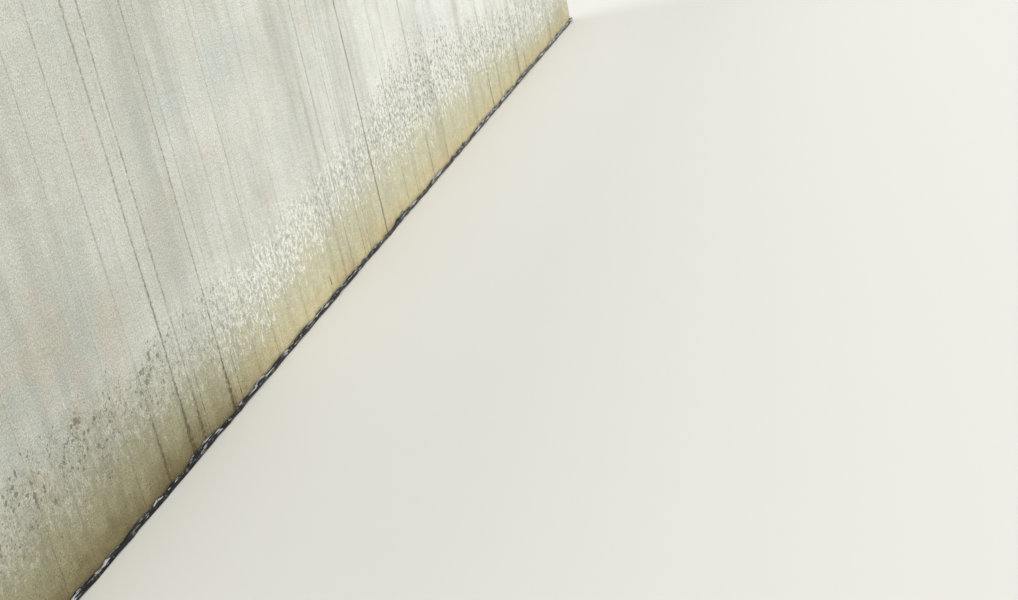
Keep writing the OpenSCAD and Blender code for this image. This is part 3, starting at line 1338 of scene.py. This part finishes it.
def slice_along(axis: Axis, low: Vector, high: Vector, count: int) -> None:
    """Cuts the edges of the piece in edit mode where even slices along an axis would meet.

    Args:
        axis: The direction that is divided.
        low: The piece's lowest corner.
        high: Its highest corner.
        count: How many slices there are.
    """
    normal = Vector((0.0, 0.0, 0.0))
    normal[axis] = 1.0
    for k in range(1, count):
        place = Vector(low)
        place[axis] += (high[axis] - low[axis]) * k / count
        bpy.ops.mesh.select_all(action="SELECT")
        bpy.ops.mesh.bisect(plane_co=place, plane_no=normal)


def weigh(piece: Piece, name: str, weight: Callable[[Vector], float]) -> None:
    """Adds a vertex group that says how far waves move each place on a piece.

    Args:
        piece: The object.
        name: The group's name.
        weight: Gives the share for a place, from 0 to 1.
    """
    group = piece.vertex_groups.new(name=name)
    for vertex in piece.data.vertices:
        group.add([vertex.index], weight(vertex.co), "ADD")


@dataclass(frozen=True)
class Waves:
    """Waves that move a piece's surface.

    Attributes:
        name: Their name.
        size: Distance from one to the next.
        strength: Depth from the lowest to the highest point.
        direction: Where they move the surface.
        group: The vertex group that they move.
        middle: The level of the pattern that stays in place.
        pattern: The pattern that they follow.
        depth: How many finer patterns a cloudy one adds.
        contrast: How sharply the pattern turns from low to high.
        brightness: Its level, of which what lies above 1 is cut off.
    """

    name: str
    size: float
    strength: float
    direction: Push
    group: str
    middle: float = 0.5
    pattern: Pattern = Pattern.CLOUDS
    depth: int = 1
    contrast: float = 1.0
    brightness: float = 1.0

    def move(self, piece: Piece) -> None:
        """Moves the surface of a piece.

        Args:
            piece: The object.
        """
        texture = bpy.data.textures.new(self.name, type=self.pattern.value)
        texture.noise_scale = self.size
        texture.contrast = self.contrast
        texture.intensity = self.brightness
        texture.use_clamp = True
        if self.pattern is Pattern.CLOUDS:
            texture.noise_depth = self.depth
        waves = piece.modifiers.new(self.name, "DISPLACE")
        waves.texture = texture
        waves.strength = self.strength
        waves.mid_level = self.middle
        waves.direction = self.direction.value
        waves.vertex_group = self.group
        apply_modifier(piece, waves)


def dress(piece: Piece, material: Material, sharpest: float) -> None:
    """Smooths a new piece, and gives it its material and its body.

    Args:
        piece: The finished object, which is active.
        material: Its material.
        sharpest: The sharpest turn that still looks round, in degrees.
    """
    bpy.ops.object.shade_smooth_by_angle(angle=math.radians(sharpest))
    piece.data.materials.clear()
    piece.data.materials.append(material)
    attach(piece, BODY)
    log.info("%s: %d faces", piece.name, len(piece.data.polygons))


def dress_node(name: str, material: Material) -> None:
    """Gives a CAD node that stays in view its material.

    Args:
        name: The node's name.
        material: Its material.
    """
    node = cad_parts[name]
    node.data.materials.clear()
    node.data.materials.append(material)
    log.info("%s wears %s", name, material.name)


@dataclass
class RenderedFace:
    """The floated render on one face of one bay.

    Attributes:
        face: The face that it covers.
        bay: The bay's number, from the near end.
        square: Size of the squares that its surface is divided into.
        panel_squares: How many squares there are on each side of a panel.
        corner_radius: Rounding of the corner at a stop end.
        arris_radius: Rounding of the arris beside a movement joint.
        wave_size: Distance from one float wave to the next.
        wave_depth: Height of the float waves.
        sweep_size: Size of the float's shorter sweeps.
        sweep_depth: Height of those sweeps.
    """

    face: Face
    bay: int
    square: float = 0.016
    panel_squares: int = 8
    corner_radius: float = 0.008
    arris_radius: float = 0.0015
    wave_size: float = 0.40
    wave_depth: float = 0.0035
    sweep_size: float = 0.09
    sweep_depth: float = 0.0012

    @property
    def node(self) -> str:
        """The CAD node that the piece stands for."""
        return f"{self.face.value}_render_{self.bay}"

    def build(self, material: Material) -> None:
        """Models the render and dresses it.

        Args:
            material: The painted render.
        """
        low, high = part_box(self.node)
        piece = start_block(f"floated_{self.node}", low, high)
        bpy.ops.object.mode_set(mode="EDIT")
        for edge_x, wall_end in ((low.x, WALL_LOW.x), (high.x, WALL_HIGH.x)):
            radius = self.corner_radius if abs(edge_x - wall_end) < MM else self.arris_radius
            round_edges(piece, radius, lambda edge: all(
                abs(v.co.x - edge_x) < TOUCHING and self._is_outer(v.co) for v in edge.verts
            ))
        self._divide(piece, low, high)
        bpy.ops.object.mode_set(mode="OBJECT")
        weigh(piece, "face", self._is_outer)
        for name, size, depth in (
            ("float_waves", self.wave_size, self.wave_depth),
            ("float_sweeps", self.sweep_size, self.sweep_depth),
        ):
            Waves(name, size, depth, Push.THROUGH_WALL, "face").move(piece)
        dress(piece, material, sharpest=30)
        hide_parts(self.node)

    def _is_outer(self, place: Vector) -> bool:
        """Tells whether a place lies on the wall's face."""
        return abs(place.y - self.face.place) < TOUCHING

    def _divide(self, piece: Piece, low: Vector, high: Vector) -> None:
        """Cuts the face into panels, and those into squares.

        Args:
            piece: The block in edit mode.
            low: Its lowest corner.
            high: Its highest corner.
        """
        panel = self.square * self.panel_squares
        for axis in (Axis.ALONG_WALL, Axis.UP):
            slice_along(axis, low, high, round((high[axis] - low[axis]) / panel))
        select_parts(piece, Part.FACE, lambda face: face.normal.y * self.face.outward > SQUARELY)
        bpy.ops.mesh.subdivide(number_cuts=self.panel_squares - 1)


@dataclass
class Coping:
    """The cast coping units, with weathered tops, worn arrises and a drip groove at each edge.

    Attributes:
        units: How many units there are.
        rise: Height of the ridge above the shoulders.
        arris_radius: Rounding of the upper arrises.
        end_radius: Rounding of the arrises at each unit's ends.
        ridge_width: Half width of the rounded ridge.
        drip_radius: Radius of a drip groove.
        drip_inset: Distance from the edge to a groove's middle.
        drip_sides: How many sides the round cutter of a groove has.
        overrun: How far that cutter stands out at each end.
        unworn: Height of the part above a unit's underside that the weather doesn't reach.
        square: Size of the squares that a unit's surface is divided into.
        wear_size: Size of the worn places.
        wear_depth: Depth of the worn places.
        chip_size: Size of the chips.
        chip_depth: Depth of the chips.
    """

    units: int
    rise: float = 0.030
    arris_radius: float = 0.006
    end_radius: float = 0.003
    ridge_width: float = 0.012
    drip_radius: float = 0.005
    drip_inset: float = 0.013
    drip_sides: int = 16
    overrun: float = 0.05
    unworn: float = 0.008
    square: float = 0.014
    wear_size: float = 0.05
    wear_depth: float = 0.0020
    chip_size: float = 0.016
    chip_depth: float = 0.007

    def build(self, material: Material) -> None:
        """Casts a unit of each length, and places and wears a copy for every unit.

        Args:
            material: The cast concrete.
        """
        moulds: dict[float, Piece] = {}
        for number in range(1, self.units + 1):
            node = f"coping_{number}"
            low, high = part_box(node)
            length = round(high.x - low.x, 4)
            if length not in moulds:
                moulds[length] = self._cast(f"mould_{len(moulds) + 1}", low, high)
            select_only(moulds[length])
            bpy.ops.object.duplicate()
            piece = bpy.context.object
            piece.name = f"cast_{node}"
            start = min(corner[0] for corner in piece.bound_box)
            bpy.ops.transform.translate(value=(low.x - start, 0, 0))
            bpy.ops.object.transform_apply(location=True, rotation=False, scale=False)
            self._wear(piece, low)
            dress(piece, material, sharpest=40)
            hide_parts(node)
        for mould in moulds.values():
            delete(mould)

    def _cast(self, name: str, low: Vector, high: Vector) -> Piece:
        """Models one unworn unit.

        Args:
            name: The unit's name.
            low: Its lowest corner.
            high: Its highest corner.

        Returns:
            The unit.
        """
        shoulder = high.z - self.rise
        piece = start_block(name, low, Vector((high.x, high.y, shoulder)))
        bpy.ops.object.mode_set(mode="EDIT")
        slice_along(Axis.THROUGH_WALL, low, high, 2)
        select_parts(piece, Part.VERTEX, lambda v: (
            v.co.z > shoulder - TOUCHING and abs(v.co.y) < TOUCHING
        ))
        bpy.ops.transform.translate(value=(0, 0, self.rise))
        round_edges(piece, self.arris_radius, lambda edge: all(
            v.co.z > shoulder - TOUCHING and abs(v.co.y) > APART for v in edge.verts
        ) and abs(edge.verts[0].co.x - edge.verts[1].co.x) > APART)
        round_edges(piece, self.ridge_width, lambda edge: all(
            v.co.z > shoulder + APART and abs(v.co.y) < TOUCHING for v in edge.verts
        ))
        round_edges(piece, self.end_radius, lambda edge: edge.is_manifold and any(
            abs(face.normal.x) > SQUARELY for face in edge.link_faces
        ) and any(
            face.normal.z > TILTED or abs(face.normal.y) > FACING for face in edge.link_faces
        ), segments=2)
        for axis in Axis:
            slice_along(axis, low, high, math.ceil((high[axis] - low[axis]) / self.square))
        bpy.ops.object.mode_set(mode="OBJECT")
        for face in Face:
            self._cut_drip_groove(piece, low, high, face)
        return piece

    def _cut_drip_groove(self, piece: Piece, low: Vector, high: Vector, face: Face) -> None:
        """Cuts the half-round groove under one edge.

        Args:
            piece: The unit.
            low: Its lowest corner.
            high: Its highest corner.
            face: The face that the edge shelters.
        """
        deselect_everything()
        bpy.ops.mesh.primitive_cylinder_add(
            vertices=self.drip_sides,
            radius=self.drip_radius,
            depth=high.x - low.x + 2 * self.overrun,
            location=((low.x + high.x) / 2, face.outward * (high.y - self.drip_inset), low.z),
            rotation=(0, math.pi / 2, 0),
        )
        cutter = bpy.context.object
        groove = piece.modifiers.new("drip_groove", "BOOLEAN")
        groove.object = cutter
        groove.solver = "EXACT"
        apply_modifier(piece, groove)
        delete(cutter)

    def _wear(self, piece: Piece, low: Vector) -> None:
        """Wears the faces that show and knocks chips off the arrises.

        Args:
            piece: The unit.
            low: Its lowest corner.
        """
        weigh(piece, "worn", lambda place: place.z > low.z + self.unworn)
        Waves(
            "wear", self.wear_size, self.wear_depth, Push.OUTWARD, "worn", middle=1.0, depth=2
        ).move(piece)
        Waves(
            "chips", self.chip_size, self.chip_depth, Push.OUTWARD, "worn", middle=1.0,
            contrast=5.0, brightness=2.0,
        ).move(piece)


@dataclass
class DampProofStrip:
    """The folded, crumpled edge of black polythene along the foot of one face of one bay.

    Attributes:
        face: The face that it stands against.
        bay: The bay's number, from the near end.
        leg: Mean height of the leg against the wall.
        flap: Length of the flap that slopes down from the fold over its top.
        lip: Length of the lip that hangs from the flap.
        lip_from: Where the lip begins, in flap lengths from the wall.
        steady: How much of the leg's dents and creases its foot keeps.
        leg_cuts: How many cuts divide the leg's height.
        step: Distance between the cuts along it.
        film: Thickness of the film.
    """

    face: Face
    bay: int
    leg: float = 0.013
    flap: float = 0.007
    lip: float = 0.005
    lip_from: float = 1.55
    steady: float = 0.3
    leg_cuts: int = 3
    step: float = 0.006
    film: float = 0.001

    @property
    def node(self) -> str:
        """The CAD node that the piece stands for."""
        return f"{self.face.value}_damp_proof_strip_{self.bay}"

    def build(self, material: Material) -> None:
        """Models the strip and dresses it.

        Args:
            material: The black polythene.
        """
        piece = self._fold()
        weigh(piece, "height", self._share_up)
        weigh(piece, "lip", lambda place: (
            (place.y - self.face.place) * self.face.outward > self.lip_from * self.flap
        ))
        weigh(piece, "film", lambda place: (
            self.steady + (1 - self.steady) * self._share_up(place)
        ))
        up, through, creases = Push.UP, Push.THROUGH_WALL, Pattern.CREASES
        for waves in (
            Waves("long_waves", 0.26, 0.014, up, "height"),
            Waves("short_waves", 0.08, 0.020, up, "height"),
            Waves("crumples", 0.030, 0.014, up, "height"),
            Waves("ragged_cut", 0.022, 0.012, up, "lip", 0.65),
            Waves("flared_lip", 0.09, 0.006 * self.face.outward, through, "lip", 0.35),
            Waves("dents", 0.040, 0.006 * self.face.outward, through, "film", 0.25, creases),
            Waves("creases", 0.018, 0.004 * self.face.outward, through, "film", 0.25, creases),
        ):
            waves.move(piece)
        solid = piece.modifiers.new("film", "SOLIDIFY")
        solid.thickness = self.film
        apply_modifier(piece, solid)
        # What has been crumpled down past the ground lies flat on it.
        for vertex in piece.data.vertices:
            vertex.co.z = max(vertex.co.z, 0.0)
        dress(piece, material, sharpest=30)
        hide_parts(self.node)

    def _share_up(self, place: Vector) -> float:
        """Gives how far up the leg a place is, from 0 to 1."""
        return min(1.0, place.z / self.leg)

    def _fold(self) -> Piece:
        """Folds a flat sheet over at its top and cuts it into small squares.

        Returns:
            The folded sheet, still without thickness.
        """
        low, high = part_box(self.node)
        outward = self.face.outward
        length = high.x - low.x
        from_wall = 2 * self.film
        deselect_everything()
        bpy.ops.mesh.primitive_plane_add(
            size=1.0,
            location=((low.x + high.x) / 2, self.face.place + outward * from_wall, self.leg / 2),
            rotation=(math.pi / 2, 0, 0),
        )
        bpy.ops.transform.resize(value=(length, 1.0, self.leg))
        piece = bpy.context.object
        piece.name = f"folded_{self.node}"
        bpy.ops.object.transform_apply(location=True, rotation=True, scale=True)
        bpy.ops.object.mode_set(mode="EDIT")
        select_parts(piece, Part.EDGE, lambda edge: (
            abs(edge.verts[0].co.z - edge.verts[1].co.z) > MM
        ))
        bpy.ops.mesh.subdivide(number_cuts=self.leg_cuts)
        select_parts(piece, Part.EDGE, lambda edge: all(
            v.co.z > self.leg - TOUCHING for v in edge.verts
        ))
        # Over the top of the leg, down the flap, and down the lip
        for length_down, slope in (
            (2 * self.film, -40), (2 * self.film, 5),
            (self.flap / 2, 38), (self.flap / 2, 42),
            (self.lip / 2, 75), (self.lip / 2, 85),
        ):
            angle = math.radians(slope)
            move = (0, outward * length_down * math.cos(angle), -length_down * math.sin(angle))
            bpy.ops.mesh.extrude_region_move(TRANSFORM_OT_translate={"value": move})
        select_parts(piece, Part.EDGE, lambda edge: (
            abs(edge.verts[0].co.x - edge.verts[1].co.x) > length / 2
        ))
        bpy.ops.mesh.subdivide(number_cuts=round(length / self.step))
        bpy.ops.object.mode_set(mode="OBJECT")
        return piece


@dataclass
class Studio:
    """The camera, the soft lamps and the pale floor.

    Attributes:
        eye_height: Height of the camera, which is also the unit of the next two.
        from_wall: Distance from the garden face, in eye heights.
        from_far_end: Distance back from the far stop end, in eye heights.
        heading: Turn of the view from the wall's direction towards the wall, in degrees.
        dip: How far the view looks down, in degrees.
        roll: How far the camera leans over, in degrees.
        lens_mm: Focal length.
        sensor_mm: Width of the sensor.
        view_end: How far the camera sees.
        floor_size: Width of the floor.
        backdrop: Colour of the background.
        light: How strongly the background lights the wall.
    """

    eye_height: float = 1.66
    from_wall: float = 1.21
    from_far_end: float = 5.49
    heading: float = 17.08
    dip: float = 20.38
    roll: float = 11.75
    lens_mm: float = 50.92
    sensor_mm: float = 36.0
    view_end: float = 500.0
    floor_size: float = 240.0
    backdrop: str = "#f4f5f5"
    light: float = 0.68

    def build(self) -> None:
        """Makes the camera, the lamps, the world and the floor."""
        bpy.context.scene.view_settings.view_transform = "Standard"
        self._camera()
        self._lamps()
        self._world()
        self._floor()

    def _hold(self, name: str, device: bpy.types.ID, turn: Quaternion) -> Piece:
        """Puts a camera or a lamp into the scene.

        Args:
            name: The new object's name.
            device: The camera or lamp.
            turn: Where it is turned.

        Returns:
            The object that holds it.
        """
        holder = bpy.data.objects.new(name, device)
        bpy.context.scene.collection.objects.link(holder)
        holder.rotation_mode = "QUATERNION"
        holder.rotation_quaternion = turn
        return holder

    def _camera(self) -> None:
        """Stands the camera where the photograph was taken."""
        heading, dip = math.radians(self.heading), math.radians(self.dip)
        forward = Vector((
            math.cos(heading) * math.cos(dip),
            math.sin(heading) * math.cos(dip),
            -math.sin(dip),
        ))
        lean = Quaternion(forward, math.radians(self.roll))
        device = bpy.data.cameras.new("camera")
        device.lens = self.lens_mm
        device.sensor_width = self.sensor_mm
        device.clip_end = self.view_end
        camera = self._hold("camera", device, lean @ forward.to_track_quat("-Z", "Y"))
        camera.location = (
            WALL_HIGH.x - self.from_far_end * self.eye_height,
            WALL_LOW.y - self.from_wall * self.eye_height,
            self.eye_height,
        )
        bpy.context.scene.camera = camera

    def _lamps(self) -> None:
        """Hangs a soft lamp high over the garden side, and a weaker one behind the wall."""
        for name, energy, angle, towards in (
            ("garden_lamp", 1.8, 9, Vector((-0.60, 0.60, -0.90))),
            ("back_lamp", 0.8, 40, Vector((0.30, -0.75, -0.80))),
        ):
            lamp = bpy.data.lights.new(name, type="SUN")
            lamp.energy = energy
            lamp.angle = math.radians(angle)
            self._hold(name, lamp, towards.to_track_quat("-Z", "Y"))

    def _world(self) -> None:
        """Fills the scene with even light, and shows white behind the object."""
        world = bpy.data.worlds.new("studio")
        bpy.context.scene.world = world
        world.use_nodes = True
        world.node_tree.nodes.clear()
        add = Sketch(world.node_tree).add
        rays = add("LightPath").outputs
        seen = rays["Is Camera Ray"]
        for ray in ("Is Glossy Ray", "Is Transmission Ray"):
            seen = add("Math", seen, rays[ray], operation="MAXIMUM")
        strength = add("MapRange", seen, None, None, self.light, 1.0)
        add("OutputWorld", add("Background", self.backdrop, strength))

    def _floor(self) -> None:
        """Lays the floor that the wall stands on."""
        deselect_everything()
        bpy.ops.mesh.primitive_plane_add(size=self.floor_size, location=(0, 0, 0))
        floor = bpy.context.object
        floor.name = "floor"
        floor.data.materials.append(PaleFloor().build())


def main() -> None:
    """Builds the studio and every part of the wall, and reports each."""
    logging.basicConfig(level=logging.INFO, format="%(name)s: %(message)s")
    Studio().build()

    render = PaintedRender().build()
    concrete = CastConcrete().build()
    polythene = BlackPolythene().build()
    brickwork = FiredBrickwork().build()
    # Pointed mortar is sandy and dull, tooled sealant is smooth with a faint sheen, and cut foam
    # board is nearly black and finely pored.
    mortar = PlainGrain(
        "bedding_mortar", "#aba594", "#7d786a", roughness=0.9, grain_mm=2.5, relief_mm=0.6
    ).build()
    sealant = PlainGrain(
        "tooled_sealant", "#d8d5c8", "#a29e92", roughness=0.6, grain_mm=6.0, relief_mm=0.2
    ).build()
    board = PlainGrain(
        "foam_board", "#2e2e30", "#1c1c1e", roughness=0.8, grain_mm=1.5, relief_mm=0.3
    ).build()

    for face in Face:
        for bay in range(1, BAYS + 1):
            RenderedFace(face, bay).build(render)
            DampProofStrip(face, bay).build(polythene)
    Coping(COPING_UNITS).build(concrete)
    for end in ("near", "far"):
        dress_node(f"{end}_end_render", render)
    for bay in range(1, BAYS + 1):
        dress_node(f"brick_core_{bay}", brickwork)
        dress_node(f"coping_mortar_{bay}", mortar)
    for joint in range(1, BAYS):
        dress_node(f"joint_filler_{joint}", board)
        for piece in ("front", "back", "coping"):
            dress_node(f"{piece}_sealant_{joint}", sealant)


if __name__ == "__main__":
    main()
